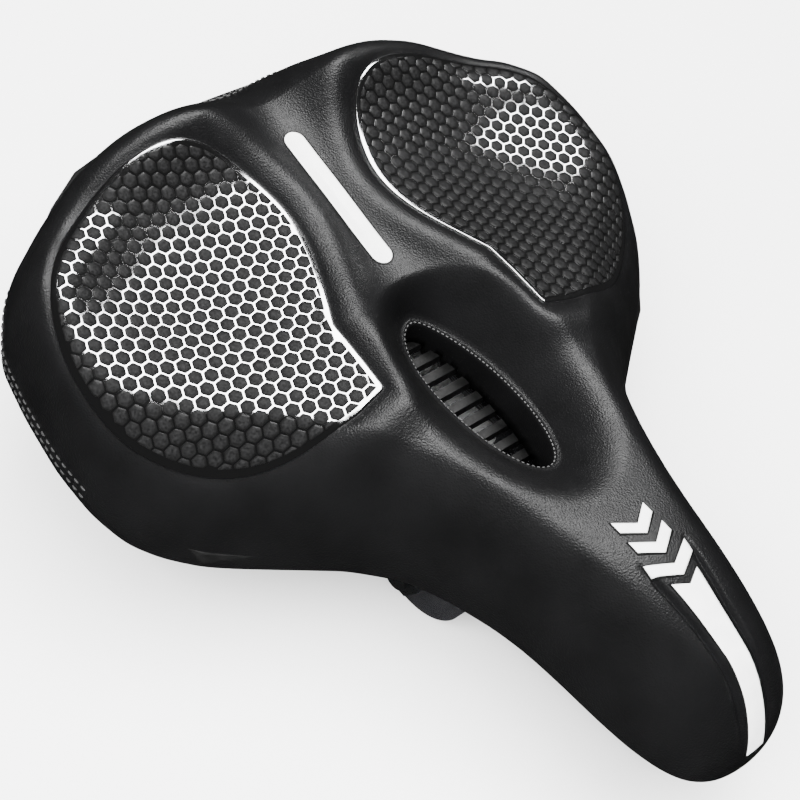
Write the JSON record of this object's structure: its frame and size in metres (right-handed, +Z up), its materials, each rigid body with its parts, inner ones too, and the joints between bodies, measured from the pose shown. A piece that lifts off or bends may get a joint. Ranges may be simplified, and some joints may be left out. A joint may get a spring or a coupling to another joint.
{
  "type": "bicycle saddle",
  "caption": "Wide padded bicycle saddle with a relief hole, hexagon-printed seat pads, sprung rear, steel rails and a tilting seat-post clamp.",
  "frame": {"origin": "centre of the seat-post bore, level with the clamp stud", "axes": "+X towards the saddle's nose, +Y to the rider's left, +Z up along the seat post"},
  "size_m": [0.251, 0.213, 0.0887],
  "materials": {
    "cover_leather": "fine-grained satin black",
    "foam": "open-cell foam",
    "gel": "soft translucent gel",
    "hex_film": "matte black film printed with mirror-bright hexagons",
    "white_print": "satin white print with a thin black outline",
    "thread": "black polyester thread",
    "base_plastic": "moulded black plastic",
    "elastomer": "matte black rubber",
    "rail_steel": "bright drawn steel",
    "bracket_steel": "black powder coat",
    "clamp_steel": "gloss black electro-coat",
    "zinc_fastener": "zinc plate"
  },
  "bodies": {
    "post_clamp": {"clamp_band": "clamp_steel"},
    "clamp_cheeks": {"clamp_stud": "zinc_fastener", "inner_cheek_left": "clamp_steel", "inner_cheek_right": "clamp_steel", "outer_cheek_left": "clamp_steel", "outer_cheek_right": "clamp_steel", "clamp_washers": "zinc_fastener", "clamp_nuts": "zinc_fastener"},
    "rail_frame": {"rail_left": "rail_steel", "rail_right": "rail_steel", "nose_cross_tube": "rail_steel", "rear_bracket": "bracket_steel", "elastomer_left": "elastomer", "elastomer_right": "elastomer"},
    "saddle_top": {"cover": "cover_leather", "foam_pad": "foam", "gel_pad_left": "gel", "gel_pad_right": "gel", "hex_panel_left": "hex_film", "hex_panel_right": "hex_film", "centre_label": "white_print", "chevron_marks": "white_print", "nose_strip": "white_print", "edge_seam": "thread", "hole_trim": "thread", "base_shell": "base_plastic", "nose_socket": "base_plastic", "elastomer_bolts": "zinc_fastener", "elastomer_washers": "zinc_fastener"}
  },
  "joints": [
    {"name": "saddle_tilt", "type": "hinge", "parent": "post_clamp", "child": "clamp_cheeks", "pos_m": [-0.02, 0, 0], "axis": [0, 1, 0], "range_deg": [-12, 12]},
    {"name": "rail_slide", "type": "slide", "parent": "clamp_cheeks", "child": "rail_frame", "axis": [1, 0, 0], "range_m": [-0.01, 0.01]},
    {"name": "suspension", "type": "hinge", "parent": "rail_frame", "child": "saddle_top", "pos_m": [0.06, 0, 0.011], "axis": [0, -1, 0], "range_deg": [0, 2], "stiffness_Nm_per_rad": 600, "deforming": ["elastomer_left", "elastomer_right"]}
  ]
}
